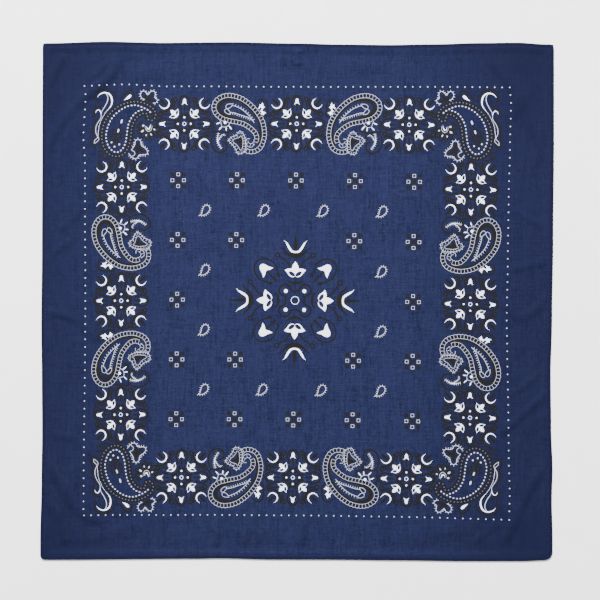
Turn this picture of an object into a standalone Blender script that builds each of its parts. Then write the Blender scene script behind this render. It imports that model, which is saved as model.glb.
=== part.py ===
"""A square cotton bandana laid out flat with its printed side up.

The cloth is one panel whose four edges are turned under as narrow hems. The panel is a wall of
even thickness. It lies on the ground, steps up over the hems at its edges, and stands off the
ground only in a few low, soft creases.

Units are metres. +Z is up, +X runs to the cloth's right side and +Y to its top. The origin is on
the ground, under the middle of the cloth.
"""

import math

import bpy

OBJECT_NAME = "bandana"

# The cloth as it is laid. Millimetres are written as such in the tables and scaled by MM.
MM = 0.001
HALF_WIDTH = 0.275
HALF_LENGTH = 0.278
WALL = 0.001
SEAM_GAP = 0.0003

# The hems. Each is a flat strip under the panel's edge, and the panel comes down to the ground
# beyond its inner edge.
HEM_WIDTH = 0.006
HEM_WALL = 0.001
HEM_SETBACK = 0.0004
HEM_CLEARANCE = 0.001
STEP_END = 0.0125

# The grids: lines at the hem's places near the edges, and evenly spaced ones between.
PANEL_CELLS = 52
HEM_CELLS = 40

# How far each edge stands out from a straight line, in millimetres.
# Columns: place along the edge from its middle (up, or to the right), distance outwards.
LEFT_EDGE = (
    (-260, 1.2),
    (-192, -0.3),
    (-140, -0.9),
    (-84, -0.6),
    (-24, 0.0),
    (45, -0.7),
    (163, -1.1),
    (272, -1.5),
)
RIGHT_EDGE = (
    (-253, -0.4),
    (-214, -1.3),
    (-179, -0.5),
    (-134, -2.0),
    (-79, -2.5),
    (-18, -1.0),
    (66, 0.2),
    (176, 1.1),
    (260, 1.1),
)
TOP_EDGE = (
    (-268, -0.3),
    (-206, 1.4),
    (-147, 0.1),
    (-72, 0.8),
    (3, -0.6),
    (46, -1.7),
    (100, -2.2),
    (145, -1.5),
    (197, -0.1),
    (236, 0.3),
    (267, -1.5),
)
BOTTOM_EDGE = (
    (-255, -0.3),
    (-110, -1.4),
    (-84, -1.8),
    (-22, -0.5),
    (36, -0.4),
    (111, 0.4),
    (181, 1.2),
    (242, 1.2),
    (267, 0.3),
)

# The corners' radii. Columns: side to the right (1) or left (-1), side up or down, radius.
CORNERS = {
    (-1, 1): 0.0012,
    (1, 1): 0.0022,
    (-1, -1): 0.0048,
    (1, -1): 0.0090,
}

# The soft creases, in millimetres and degrees. Where they would stand lower than LOWEST_CREASE,
# the cloth lies on the ground.
LOWEST_CREASE = 0.00006
# Columns: middle x, middle y, direction, half length, half width, height.
CREASES = (
    (-247, 170, 68, 70, 15, 1.0),
    (-236, 92, 104, 48, 13, 0.6),
    (-249, -40, 86, 60, 14, 0.5),
    (-243, -196, 62, 58, 15, 1.1),
    (-205, -250, 14, 50, 13, 0.7),
    (-40, -252, 174, 74, 14, 0.5),
    (150, -248, 8, 66, 14, 0.6),
    (232, -228, 132, 46, 16, 1.2),
    (246, -110, 95, 66, 14, 0.6),
    (250, 60, 88, 72, 13, 0.5),
    (238, 214, 48, 44, 14, 0.7),
    (70, 252, 176, 78, 13, 0.5),
    (-140, 248, 6, 62, 14, 0.7),
    (-60, 60, 38, 96, 22, 0.4),
    (96, -84, 140, 88, 22, 0.4),
)

COTTON_NAVY = (0.026, 0.041, 0.125, 1.0)
HEM_NAVY = (0.022, 0.035, 0.108, 1.0)
COTTON_ROUGHNESS = 0.88


def clear_scene():
    for thing in list(bpy.data.objects):
        bpy.data.objects.remove(thing, do_unlink=True)


def eased(share):
    """Runs from 0 to 1 with no slope at either end."""
    share = min(max(share, 0.0), 1.0)
    return share * share * (3.0 - 2.0 * share)


def read_table(table, place):
    """The smooth value at a place along a table of (place, value) rows."""
    if place <= table[0][0]:
        return table[0][1]
    for (start, low), (end, high) in zip(table, table[1:]):
        if place <= end:
            return low + (high - low) * eased((place - start) / (end - start))
    return table[-1][1]


def round_corner(x, y):
    """Moves a point near a corner so that the square corner becomes a round one."""
    side_x = 1 if x > 0 else -1
    side_y = 1 if y > 0 else -1
    radius = CORNERS[side_x, side_y]
    past_x = (abs(x) - (HALF_WIDTH - radius)) / radius
    past_y = (abs(y) - (HALF_LENGTH - radius)) / radius
    if past_x <= 0.0 or past_y <= 0.0:
        return x, y
    new_x = HALF_WIDTH - radius + radius * past_x * math.sqrt(1.0 - past_y * past_y / 2.0)
    new_y = HALF_LENGTH - radius + radius * past_y * math.sqrt(1.0 - past_x * past_x / 2.0)
    return side_x * new_x, side_y * new_y


def place_on_ground(x, y):
    """Where a point of the evenly cut square comes to lie, seen from above."""
    x, y = round_corner(x, y)
    side_edge = RIGHT_EDGE if x > 0 else LEFT_EDGE
    end_edge = TOP_EDGE if y > 0 else BOTTOM_EDGE
    out_x = read_table(side_edge, y / MM) * MM
    out_y = read_table(end_edge, x / MM) * MM
    return x + out_x * x / HALF_WIDTH, y + out_y * y / HALF_LENGTH


def edge_middle():
    """The middle of the laid outline's bounding box."""
    steps = 200
    points = []
    for step in range(steps + 1):
        share = 2.0 * step / steps - 1.0
        for side in (-1, 1):
            points.append(place_on_ground(share * HALF_WIDTH, side * HALF_LENGTH))
            points.append(place_on_ground(side * HALF_WIDTH, share * HALF_LENGTH))
    xs = [x for x, y in points]
    ys = [y for x, y in points]
    return (min(xs) + max(xs)) / 2.0, (min(ys) + max(ys)) / 2.0


def edge_distance(x, y):
    return min(HALF_WIDTH - abs(x), HALF_LENGTH - abs(y))


def crease_height(x, y):
    """The height of the soft creases, which die away before they reach the hems."""
    height = 0.0
    for middle_x, middle_y, turn, half_length, half_width, top in CREASES:
        over_x = x / MM - middle_x
        over_y = y / MM - middle_y
        turn = math.radians(turn)
        along = (over_x * math.cos(turn) + over_y * math.sin(turn)) / half_length
        across = (over_y * math.cos(turn) - over_x * math.sin(turn)) / half_width
        fall = 1.0 - along * along - across * across
        if fall > 0.0:
            height += top * MM * fall * fall
    height *= eased((edge_distance(x, y) - STEP_END) / STEP_END)
    return height if height > LOWEST_CREASE else 0.0


def underside_height(x, y):
    """How high the panel's underside stands: over the hems, in a crease, or on the ground."""
    step = HEM_WALL + SEAM_GAP
    level_until = HEM_WIDTH + HEM_CLEARANCE
    past_hem = (edge_distance(x, y) - level_until) / (STEP_END - level_until)
    return step * (1.0 - eased(past_hem)) + crease_height(x, y)


def on_ground(x, y):
    return 0.0


def grid_lines(half_size, near_edge, cells):
    """Grid lines from edge to edge: at given distances in from each edge, and even between."""
    low = [-half_size + distance for distance in near_edge]
    high = [-place for place in reversed(low)]
    inner_cells = cells - 2 * (len(near_edge) - 1)
    even = [low[-1] + (high[0] - low[-1]) * cell / inner_cells for cell in range(1, inner_cells)]
    return low + even + high


def cotton(name, colour):
    material = bpy.data.materials.new(name)
    material.use_nodes = True
    shader = material.node_tree.nodes["Principled BSDF"]
    shader.inputs["Base Color"].default_value = colour
    shader.inputs["Roughness"].default_value = COTTON_ROUGHNESS
    shader.inputs["Metallic"].default_value = 0.0
    material.diffuse_color = colour
    return material


def add_wall(name, lines_x, lines_y, height_at, thickness, middle, material, collection):
    """A wall over the given grid lines of the evenly cut square, built up from its underside."""
    cells_x = len(lines_x) - 1
    cells_y = len(lines_y) - 1
    bpy.ops.mesh.primitive_grid_add(x_subdivisions=cells_x, y_subdivisions=cells_y, size=1.0)
    sheet = bpy.context.object
    sheet.name = name
    sheet.data.name = name
    for vertex in sheet.data.vertices:
        x = lines_x[round((vertex.co.x + 0.5) * cells_x)]
        y = lines_y[round((vertex.co.y + 0.5) * cells_y)]
        laid_x, laid_y = place_on_ground(x, y)
        vertex.co = (laid_x - middle[0], laid_y - middle[1], height_at(x, y))
    sheet.data.materials.append(material)
    wall = sheet.modifiers.new("wall", "SOLIDIFY")
    wall.thickness = thickness
    wall.offset = 1.0
    wall.use_even_offset = False
    for face in sheet.data.polygons:
        face.use_smooth = True
    for holder in list(sheet.users_collection):
        holder.objects.unlink(sheet)
    collection.objects.link(sheet)


def add_panel(middle, collection):
    near_edge = (0.0, HEM_WIDTH / 2.0, HEM_WIDTH + HEM_CLEARANCE, STEP_END)
    lines_x = grid_lines(HALF_WIDTH, near_edge, PANEL_CELLS)
    lines_y = grid_lines(HALF_LENGTH, near_edge, PANEL_CELLS)
    material = cotton("printed_cotton", COTTON_NAVY)
    add_wall("panel", lines_x, lines_y, underside_height, WALL, middle, material, collection)


def add_hems(middle, collection):
    """The top and bottom hems run the full width, and the side hems fill in between them."""
    material = cotton("hem_cotton", HEM_NAVY)
    across = (HEM_SETBACK, HEM_WIDTH / 2.0, HEM_WIDTH)
    full_width = grid_lines(HALF_WIDTH, across, HEM_CELLS)
    between = grid_lines(HALF_LENGTH, (HEM_WIDTH + SEAM_GAP, 2.0 * HEM_WIDTH), HEM_CELLS)
    low_y = [-HALF_LENGTH + distance for distance in across]
    low_x = [-HALF_WIDTH + distance for distance in across]
    high_y = [-place for place in reversed(low_y)]
    high_x = [-place for place in reversed(low_x)]
    places = {
        "hem_top": (full_width, high_y),
        "hem_bottom": (full_width, low_y),
        "hem_left": (low_x, between),
        "hem_right": (high_x, between),
    }
    for name, (lines_x, lines_y) in places.items():
        add_wall(name, lines_x, lines_y, on_ground, HEM_WALL, middle, material, collection)


clear_scene()
bandana = bpy.data.collections.new(OBJECT_NAME)
bpy.context.scene.collection.children.link(bandana)
outline_middle = edge_middle()
add_panel(outline_middle, bandana)
add_hems(outline_middle, bandana)
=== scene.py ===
"""A square cotton bandana laid out flat with its printed side up.

Lengths in the tables are in millimetres unless they say otherwise, and MM makes them metres.
"""

import math

import bpy
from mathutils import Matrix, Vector, geometry


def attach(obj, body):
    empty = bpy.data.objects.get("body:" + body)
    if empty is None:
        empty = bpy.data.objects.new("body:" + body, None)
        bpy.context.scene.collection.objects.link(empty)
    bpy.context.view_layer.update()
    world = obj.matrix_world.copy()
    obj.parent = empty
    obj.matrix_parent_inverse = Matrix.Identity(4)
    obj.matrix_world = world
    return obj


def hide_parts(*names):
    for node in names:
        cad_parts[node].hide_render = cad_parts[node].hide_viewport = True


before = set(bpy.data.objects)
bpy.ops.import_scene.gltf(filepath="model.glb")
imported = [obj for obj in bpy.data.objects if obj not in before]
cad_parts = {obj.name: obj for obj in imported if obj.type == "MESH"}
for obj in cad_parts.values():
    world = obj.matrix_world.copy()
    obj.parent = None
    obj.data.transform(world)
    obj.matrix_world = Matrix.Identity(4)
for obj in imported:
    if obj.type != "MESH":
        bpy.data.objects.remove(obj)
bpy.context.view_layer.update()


# ---------------------------------------------------------------------------------------------
# How the cloth lies. It is a square of plain-weave cotton, 550 by 556 mm after hemming. Washing
# and folding leave its edges a little bowed and its corners softly rounded, and a few creases
# stand up by less than a millimetre and a half.

MM = 0.001
HALF_WIDTH = 275.0
HALF_LENGTH = 278.0
# How far each edge bows outwards as the cloth lies. Columns: place along the edge, distance.
LEFT_EDGE = (
    (-260, 1.2), (-192, -0.3), (-140, -0.9), (-84, -0.6), (-24, 0.0), (45, -0.7), (163, -1.1),
    (272, -1.5),
)
RIGHT_EDGE = (
    (-253, -0.4), (-214, -1.3), (-179, -0.5), (-134, -2.0), (-79, -2.5), (-18, -1.0), (66, 0.2),
    (176, 1.1), (260, 1.1),
)
TOP_EDGE = (
    (-268, -0.3), (-206, 1.4), (-147, 0.1), (-72, 0.8), (3, -0.6), (46, -1.7), (100, -2.2),
    (145, -1.5), (197, -0.1), (236, 0.3), (267, -1.5),
)
BOTTOM_EDGE = (
    (-255, -0.3), (-110, -1.4), (-84, -1.8), (-22, -0.5), (36, -0.4), (111, 0.4), (181, 1.2),
    (242, 1.2), (267, 0.3),
)
# The radius of each corner, by its sides: right or left (1 or -1), up or down (1 or -1).
CORNERS = {(-1, 1): 2.0, (1, 1): 2.4, (-1, -1): 4.8, (1, -1): 9.0}
# Columns: middle x, middle y, direction in degrees, half length, half width, height.
CREASES = (
    (-247, 170, 68, 70, 15, 1.0),
    (-236, 92, 104, 48, 13, 0.6),
    (-249, -40, 86, 60, 14, 0.5),
    (-243, -196, 62, 58, 15, 1.1),
    (-205, -250, 14, 50, 13, 0.7),
    (-40, -252, 174, 74, 14, 0.5),
    (150, -248, 8, 66, 14, 0.6),
    (232, -228, 132, 46, 16, 1.2),
    (246, -110, 95, 66, 14, 0.6),
    (250, 60, 88, 72, 13, 0.5),
    (238, 214, 48, 44, 14, 0.7),
    (70, 252, 176, 78, 13, 0.5),
    (-140, 248, 6, 62, 14, 0.7),
    (-60, 60, 38, 96, 22, 0.4),
    (96, -84, 140, 88, 22, 0.4),
)
# The width of the flat band along each edge, which holds the hem and has no creases.
FLAT_BAND = 12.5


def rise(place, start, end):
    """Runs from 0 to 1 between two places, with no slope at either of them."""
    share = min(max((place - start) / (end - start), 0.0), 1.0)
    return share * share * (3.0 - 2.0 * share)


def read_table(table, place):
    """The smooth value at a place along a table of (place, value) rows."""
    if place <= table[0][0]:
        return table[0][1]
    for (start, low), (end, high) in zip(table, table[1:]):
        if place <= end:
            return low + (high - low) * rise(place, start, end)
    return table[-1][1]


def round_corner(x, y):
    """Moves a point near a corner so that the square corner becomes a round one."""
    side_x = 1 if x > 0 else -1
    side_y = 1 if y > 0 else -1
    radius = CORNERS[side_x, side_y]
    past_x = (abs(x) - (HALF_WIDTH - radius)) / radius
    past_y = (abs(y) - (HALF_LENGTH - radius)) / radius
    if past_x <= 0.0 or past_y <= 0.0:
        return x, y
    new_x = HALF_WIDTH - radius + radius * past_x * math.sqrt(1.0 - past_y * past_y / 2.0)
    new_y = HALF_LENGTH - radius + radius * past_y * math.sqrt(1.0 - past_x * past_x / 2.0)
    return side_x * new_x, side_y * new_y


def lay_edge(x, y):
    """Where a point of the evenly cut square comes to lie, seen from above."""
    x, y = round_corner(x, y)
    out_x = read_table(RIGHT_EDGE if x > 0 else LEFT_EDGE, y)
    out_y = read_table(TOP_EDGE if y > 0 else BOTTOM_EDGE, x)
    return x + out_x * x / HALF_WIDTH, y + out_y * y / HALF_LENGTH


def crease_height(x, y):
    """The height of the soft creases, which die away before they reach the hems."""
    height = 0.0
    for middle_x, middle_y, turn, half_length, half_width, top in CREASES:
        turn = math.radians(turn)
        over_x = x - middle_x
        over_y = y - middle_y
        along = (over_x * math.cos(turn) + over_y * math.sin(turn)) / half_length
        across = (over_y * math.cos(turn) - over_x * math.sin(turn)) / half_width
        fall = 1.0 - along * along - across * across
        if fall > 0.0:
            height += top * fall * fall
    inset = min(HALF_WIDTH - abs(x), HALF_LENGTH - abs(y))
    return height * rise(inset, FLAT_BAND, 2.0 * FLAT_BAND)


# ---------------------------------------------------------------------------------------------
# The print. The cotton is dyed navy and printed on its face in white and black, with small beads
# of a paler blue. Each figure is drawn as flat outlines about its own middle, and the one that is
# printed last shows where outlines overlap.

BARE, BLACK, PALE, FINE, WHITE = range(5)
# The dye creeps this far into a white shape from each side, and less into a fine line. A white
# line thinner than THIN is a fine one, which comes out only partly white. No line is drawn
# thinner than THINNEST. The black ink spreads a little.
CREEP = 0.36
FINE_CREEP = 0.16
THIN = 1.2
THINNEST = 0.2
SPREAD = 0.13
# A plain spot's corners. Lines and plain spots are drawn as wide as they show, and only white
# outlines with more corners than this are made smaller by the creep.
SPOT_CORNERS = 8


def smooth_path(knots, step=1.5, closed=False):
    """A smooth run through given knots, as points about a step apart."""
    count = len(knots)
    path = []
    for i in range(count if closed else count - 1):
        run = [i - 1, i, i + 1, i + 2]
        if closed:
            near = [knots[place % count] for place in run]
        else:
            near = [knots[min(max(place, 0), count - 1)] for place in run]
        cuts = max(1, round(math.dist(near[1], near[2]) / step))
        for cut in range(cuts):
            t = cut / cuts
            weights = (
                -t * (1 - t) ** 2 / 2,
                1 + t * t * (1.5 * t - 2.5),
                t * (0.5 + t * (2 - 1.5 * t)),
                -t * t * (1 - t) / 2,
            )
            x = sum(weight * knot[0] for weight, knot in zip(weights, near))
            y = sum(weight * knot[1] for weight, knot in zip(weights, near))
            path.append((x, y))
    return path if closed else path + [tuple(knots[-1])]


def lefts(path, closed=False):
    """The unit direction to the left of a path at each of its points."""
    found = []
    last = len(path) - 1
    for i in range(len(path)):
        behind = path[i - 1] if i or closed else path[0]
        ahead = path[(i + 1) % len(path)] if i < last or closed else path[last]
        run = math.dist(behind, ahead) or 1.0
        found.append(((behind[1] - ahead[1]) / run, (ahead[0] - behind[0]) / run))
    return found


def line(ink, path, widths, closed=False):
    """A printed line along a path, with its widths at even shares of its length."""
    if isinstance(widths, (int, float)):
        widths = (widths, widths)
    grown = {BLACK: SPREAD, WHITE: -CREEP}.get(ink, 0.0)
    if ink == WHITE and max(widths) < THIN:
        ink = FINE
        grown = -FINE_CREEP
    sides = []
    for i, ((x, y), (left_x, left_y)) in enumerate(zip(path, lefts(path, closed))):
        place = i / (len(path) - 1) * (len(widths) - 1)
        low = min(int(place), len(widths) - 2)
        half = (widths[low] + (widths[low + 1] - widths[low]) * (place - low)) / 2
        half = max(half + grown, THINNEST / 2)
        left = (x + left_x * half, y + left_y * half)
        right = (x - left_x * half, y - left_y * half)
        sides.append((left, right))
    ahead = sides[1:] + sides[:1] if closed else sides[1:]
    shapes = []
    for (a, b), (c, d) in zip(sides, ahead):
        # In a bend tighter than the line is wide, its inner side comes to a point.
        if (c[0] - a[0]) * (d[0] - b[0]) + (c[1] - a[1]) * (d[1] - b[1]) <= 0.0:
            if math.dist(a, c) < math.dist(b, d):
                a = c = ((a[0] + c[0]) / 2, (a[1] + c[1]) / 2)
            else:
                b = d = ((b[0] + d[0]) / 2, (b[1] + d[1]) / 2)
        shapes.append((ink, [a, b, d, c]))
    return shapes


def curve(ink, widths, knots, step=2.0):
    """A printed line along a smooth run through knots."""
    return line(ink, smooth_path(knots, step), widths)


def blob(ink, knots, step=2.0):
    """A filled smooth shape."""
    return [(ink, smooth_path(knots, step, closed=True))]


def spot(ink, x, y, radius, long=None, turn=0.0, corners=SPOT_CORNERS):
    """A round spot, or with a second radius and a turn an oval one."""
    if ink == WHITE and radius < THIN:
        ink = FINE
    long = long or radius
    turn = math.radians(turn)
    outline = []
    for corner in range(corners):
        angle = math.tau * (corner + 0.5) / corners
        along = long * math.cos(angle)
        across = radius * math.sin(angle)
        point_x = x + along * math.cos(turn) - across * math.sin(turn)
        point_y = y + along * math.sin(turn) + across * math.cos(turn)
        outline.append((point_x, point_y))
    return [(ink, outline)]


def ring(ink, x, y, radius, width, corners=12):
    """A round printed line."""
    outline = spot(ink, x, y, radius, corners=corners)[0][1]
    return line(ink, outline, width, closed=True)


def moved(shapes, x=0.0, y=0.0, turn=0.0, side=1):
    """The same shapes turned and moved. Side -1 mirrors them first."""
    cos = math.cos(math.radians(turn))
    sin = math.sin(math.radians(turn))
    return [
        (ink, [(x + side * a * cos - b * sin, y + side * a * sin + b * cos) for a, b in outline])
        for ink, outline in shapes
    ]


def both_sides(shapes):
    """The same shapes and their mirror image, left for right."""
    return shapes + moved(shapes, side=-1)


def turned_round(shapes, first=0.0):
    """Four copies, a quarter turn apart."""
    return [shape for n in range(4) for shape in moved(shapes, turn=first + 90 * n)]


def whole_outline(right_half):
    """A closed outline from its right half, listed from top to bottom."""
    return right_half + [(-x, y) for x, y in reversed(right_half) if x]


def arched(right_half):
    """A run of knots across the middle, from its right half, listed from the middle outwards."""
    return [(-x, y) for x, y in reversed(right_half[1:])] + right_half


def spaced(path, pitch, first=0.0):
    """Places at an even pitch along a path, each with the direction to its left."""
    places = []
    left = first
    for (ax, ay), (bx, by) in zip(path, path[1:]):
        run = math.dist((ax, ay), (bx, by))
        while run and left <= run:
            share = left / run
            place = (ax + (bx - ax) * share, ay + (by - ay) * share)
            places.append((*place, (ay - by) / run, (bx - ax) / run))
            left += pitch
        left -= run
    return places


def twice_area(outline):
    """Twice the area within an outline, below zero where it runs clockwise."""
    ahead = outline[1:] + outline[:1]
    return sum(x * next_y - next_x * y for (x, y), (next_x, next_y) in zip(outline, ahead))


def crept(outline):
    """A filled white shape as it shows: smaller all round by the creep of the dye."""
    inwards = CREEP if twice_area(outline) > 0.0 else -CREEP
    sides = lefts(outline, closed=True)
    return [(x + a * inwards, y + b * inwards) for (x, y), (a, b) in zip(outline, sides)]


def beside(path, distance):
    """A path kept at a distance to the left of another."""
    return [(x + a * distance, y + b * distance) for (x, y), (a, b) in zip(path, lefts(path))]


TOOTH_TIP = 0.6


def teeth(ink, path, length, width, pitch, first=0.0):
    """Short pointed teeth on the left of a path, or with a negative length on its right."""
    shapes = []
    if ink == WHITE:
        ink = FINE
    for x, y, left_x, left_y in spaced(path, pitch, first):
        on_x = left_y * width / 2
        on_y = -left_x * width / 2
        tip = (x + left_x * length, y + left_y * length)
        near_tip = (tip[0] + on_x * TOOTH_TIP, tip[1] + on_y * TOOTH_TIP)
        far_tip = (tip[0] - on_x * TOOTH_TIP, tip[1] - on_y * TOOTH_TIP)
        shapes.append((ink, [(x + on_x, y + on_y), near_tip, far_tip, (x - on_x, y - on_y)]))
    return shapes


# The dotted square: one row of small white dots round the whole printed field, a little way
# in from the hems.

HALF_SQUARE = 229.9
SQUARE_DOT = 0.74
DOTS_ACROSS = 57
DOTS_ALONG = 56
# How far each dotted side bows outwards as the cloth lies. Columns: place along it, distance.
RIGHT_BOW = (
    (-230, 0.0), (-201, 0.8), (-161, -0.1), (-121, -0.3), (-47, -1.4), (-16, -2.0), (41, -1.0),
    (115, -0.2), (164, 0.9), (215, 1.6), (230, 0.0),
)
LEFT_BOW = ((-230, 0.6), (0, -1.3), (150, -0.6), (175, 1.1), (221, -1.3), (230, -1.5))
TOP_BOW = ((-228, 0.8), (-187, 2.0), (-139, -0.6), (0, -1.5), (228, -0.3))
BOTTOM_BOW = ((-228, -1.6), (-123, -0.8), (6, -0.1), (120, 0.3), (228, 1.2))


def dotted_square():
    """Dots along all four sides, with one at each corner."""
    shapes = []
    for n in range(DOTS_ACROSS + 1):
        u = HALF_SQUARE * (2 * n / DOTS_ACROSS - 1)
        shapes += spot(WHITE, u, HALF_SQUARE + read_table(TOP_BOW, u), SQUARE_DOT)
        shapes += spot(WHITE, u, -HALF_SQUARE - read_table(BOTTOM_BOW, u), SQUARE_DOT)
    for n in range(1, DOTS_ALONG):
        v = HALF_SQUARE * (2 * n / DOTS_ALONG - 1)
        shapes += spot(WHITE, HALF_SQUARE + read_table(RIGHT_BOW, v), v, SQUARE_DOT)
        shapes += spot(WHITE, -HALF_SQUARE - read_table(LEFT_BOW, v), v, SQUARE_DOT)
    return shapes


# The lotus: a white flower seen from its side, with a bare blue eye in each side petal. A large
# one stands on each arm of the centre medallion, and a small one between the arms of the others.
def lotus():
    """An open lotus from its side, pointing up, with a bare eye in each side petal."""
    right_half = [
        (0.0, 9.4), (1.7, 7.6), (3.2, 5.0), (3.8, 2.7), (4.0, 1.7), (6.3, 1.9), (9.1, 1.4),
        (11.9, -0.1), (10.2, -2.0), (8.8, -3.8), (7.4, -5.8), (5.6, -7.4), (3.1, -8.1), (1.0, -7.7),
        (0.0, -6.8),
    ]
    eye = spot(BARE, 3.6, -4.2, 2.1, long=4.0, turn=33, corners=12)
    return [(WHITE, whole_outline(right_half))] + both_sides(eye)


def small_lotus():
    """The same flower at half the size, with narrower eyes."""
    right_half = [
        (0.0, 5.3), (1.5, 3.9), (2.4, 2.4), (2.1, 1.0), (4.3, 0.7), (7.0, 0.6), (6.0, -0.9),
        (5.1, -2.6), (4.0, -4.0), (2.6, -4.9), (1.2, -5.4), (0.0, -5.5),
    ]
    eye = spot(BARE, 3.0, -1.7, 1.3, long=2.5, turn=37, corners=12)
    return [(WHITE, whole_outline(right_half))] + both_sides(eye)


# The centre medallion: four arms, each with a lotus, white horns and a black spear, and a leaf in
# a black loop between each two arms. In its middle is a ring of white in a black clover.
def medallion_arm():
    """One arm of the centre medallion, pointing up."""
    arm = curve(BLACK, (0.6, 1.9, 2.7, 1.9, 0.6), arched([(0, 18.2), (5.4, 19.5), (8.7, 22.1)]))
    arm += moved(lotus(), y=32.6)
    stem = curve(BLACK, 1.3, [(5.0, 35.6), (7.2, 39.0), (11.0, 43.0), (17.2, 46.6)])
    stem += ring(BLACK, 19.3, 48.4, 2.3, 1.35, corners=10)
    cup = curve(BLACK, (4.6, 4.0, 2.4, 1.5, 0.6), [
        (0, 47.4), (5.0, 48.2), (9.6, 50.8), (13.2, 54.6), (16.8, 56.2),
    ])
    horn = curve(WHITE, (2.4, 2.8, 3.1, 3.0, 2.4, 0.3), [
        (0, 51.6), (3.6, 52.3), (6.0, 54.9), (8.6, 59.2), (10.4, 62.2), (12.6, 63.9),
    ])
    arm += both_sides(stem + cup)
    arm += both_sides(horn)
    spear = [(0, 72.8), (0.7, 67.5), (1.3, 63.0), (2.0, 58.6), (1.8, 55.8), (0.8, 53.2)]
    return arm + [(BLACK, whole_outline(spear))]


def medallion_leaf():
    """The leaf and its loop, which stand between two arms."""
    leaf_half = [
        (0, 53.7), (1.4, 53.5), (3.1, 52.3), (4.2, 50.4), (4.8, 48.5), (5.4, 46.2), (6.6, 43.9),
        (7.9, 41.4), (5.4, 41.6), (3.3, 42.3), (1.4, 43.6), (0, 44.2),
    ]
    leaf = [(WHITE, whole_outline(leaf_half))]
    leaf += line(BLACK, [(0, 43.0), (0, 37.0), (0, 31.0)], (1.1, 1.3, 2.0))
    leaf += spot(BLACK, 0, 30.6, 1.6)
    loop_half = [
        (0, 58.9), (4.0, 58.1), (7.8, 55.2), (10.9, 49.6), (11.5, 44.4), (10.0, 39.2), (7.9, 35.4),
        (7.4, 32.6), (6.0, 31.2),
    ]
    leaf += both_sides(curve(BLACK, (1.3, 1.3, 1.3, 1.3, 1.3, 1.2, 1.2, 1.3, 2.0), loop_half))
    return leaf + both_sides(spot(BLACK, 6.2, 31.6, 1.6, long=2.3, turn=20))


def centre_medallion():
    """The whole medallion about its middle."""
    clover_eighth = [(0, 9.7), (3.6, 10.5), (5.6, 13.2), (7.4, 16.3), (11.0, 17.3), (14.4, 15.9)]
    clover = clover_eighth + [(y, x) for x, y in reversed(clover_eighth[1:])]
    shapes = ring(WHITE, 0, 0, 4.2, 1.2, corners=20)
    shapes += turned_round(spot(WHITE, 10.0, 10.0, 2.4, corners=12))
    shapes += turned_round(curve(BLACK, 1.6, clover + [(9.7, 0)]))
    return shapes + turned_round(medallion_arm()) + turned_round(medallion_leaf(), first=45)


# The small medallion: a white ring with four bells on black stalks and a small lotus between each
# two. Three of them stand along each side of the field, just inside the dotted square.
def small_medallion():
    """Four arms, and four corner sprays an eighth turn on from them."""
    arm = curve(BLACK, 1.7, arched([(0, 10.2), (-2.3, 9.3), (-3.4, 6.4), (-1.9, 3.9)]), 1.6)
    arm += spot(WHITE, 0, 7.0, 1.35, corners=10)
    bell = [
        (0, 27.5), (1.3, 26.8), (1.9, 25.4), (2.0, 23.9), (2.3, 22.3), (3.4, 20.5), (2.4, 20.3),
        (1.2, 21.2), (0, 21.8),
    ]
    arm.append((WHITE, whole_outline(bell)))
    hood = arched([(0, 30.0), (4.4, 27.4), (6.1, 22.2), (4.6, 18.2), (4.0, 14.6)])
    arm += curve(BLACK, (1.8, 1.5, 1.6, 1.8, 1.9, 1.8, 1.6, 1.5, 1.8), hood)
    arm += line(BLACK, [(0, 13.8), (0, 20.0)], 1.4)
    scroll = ring(BLACK, 10.1, 26.2, 2.1, 1.3, corners=9)
    scroll += curve(BLACK, 1.2, [(10.2, 24.0), (10.6, 20.4), (11.0, 16.8)])
    arm += both_sides(scroll)

    corner = moved(small_lotus(), y=16.1)
    corner += curve(BLACK, 1.5, arched([(0, 7.6), (3.6, 8.6), (6.4, 11.2)]))
    horns = arched([(0, 25.7), (3.8, 27.2), (5.2, 30.4), (4.9, 34.0)])
    corner += curve(WHITE, (0.7, 1.5, 2.0, 2.1, 2.0, 1.5, 0.7), horns, 1.3)
    cup = arched([(0, 22.7), (4.6, 23.5), (7.6, 25.6), (9.4, 29.0)])
    corner += curve(BLACK, (1.4, 1.9, 2.1, 2.1, 2.1, 1.9, 1.4), cup)
    corner += line(BLACK, [(0, 28.6), (0, 33.0), (0, 37.6)], (1.6, 3.0, 1.4))
    return ring(WHITE, 0, 0, 1.8, 1.25) + turned_round(arm) + turned_round(corner, first=45)


# The side paisley: a bent drop edged with a chain of small links, with leaves and flowers round
# it. Two stand along each side, between the small medallions, as mirror images of each other.
def chain(path, pitch, outwards, inwards):
    """A border of small round links between a scalloped outer and a plain inner line."""
    shapes = []
    for x, y, left_x, left_y in spaced(path, pitch, pitch / 2):
        shapes += spot(BLACK, x, y, 1.15, corners=6)
    for x, y, left_x, left_y in spaced(path, pitch):
        post = [(x + left_x * away, y + left_y * away) for away in (outwards, inwards)]
        shapes += line(WHITE, post, 0.6)
    shapes += line(WHITE, beside(path, inwards), 0.65)
    scallops = []
    for x, y, left_x, left_y in spaced(path, pitch / 2):
        swell = outwards * (1.16 if len(scallops) % 2 else 0.92)
        scallops.append((x + left_x * swell, y + left_y * swell))
    return shapes + line(WHITE, smooth_path(scallops, 1.9), 0.7)


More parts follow.
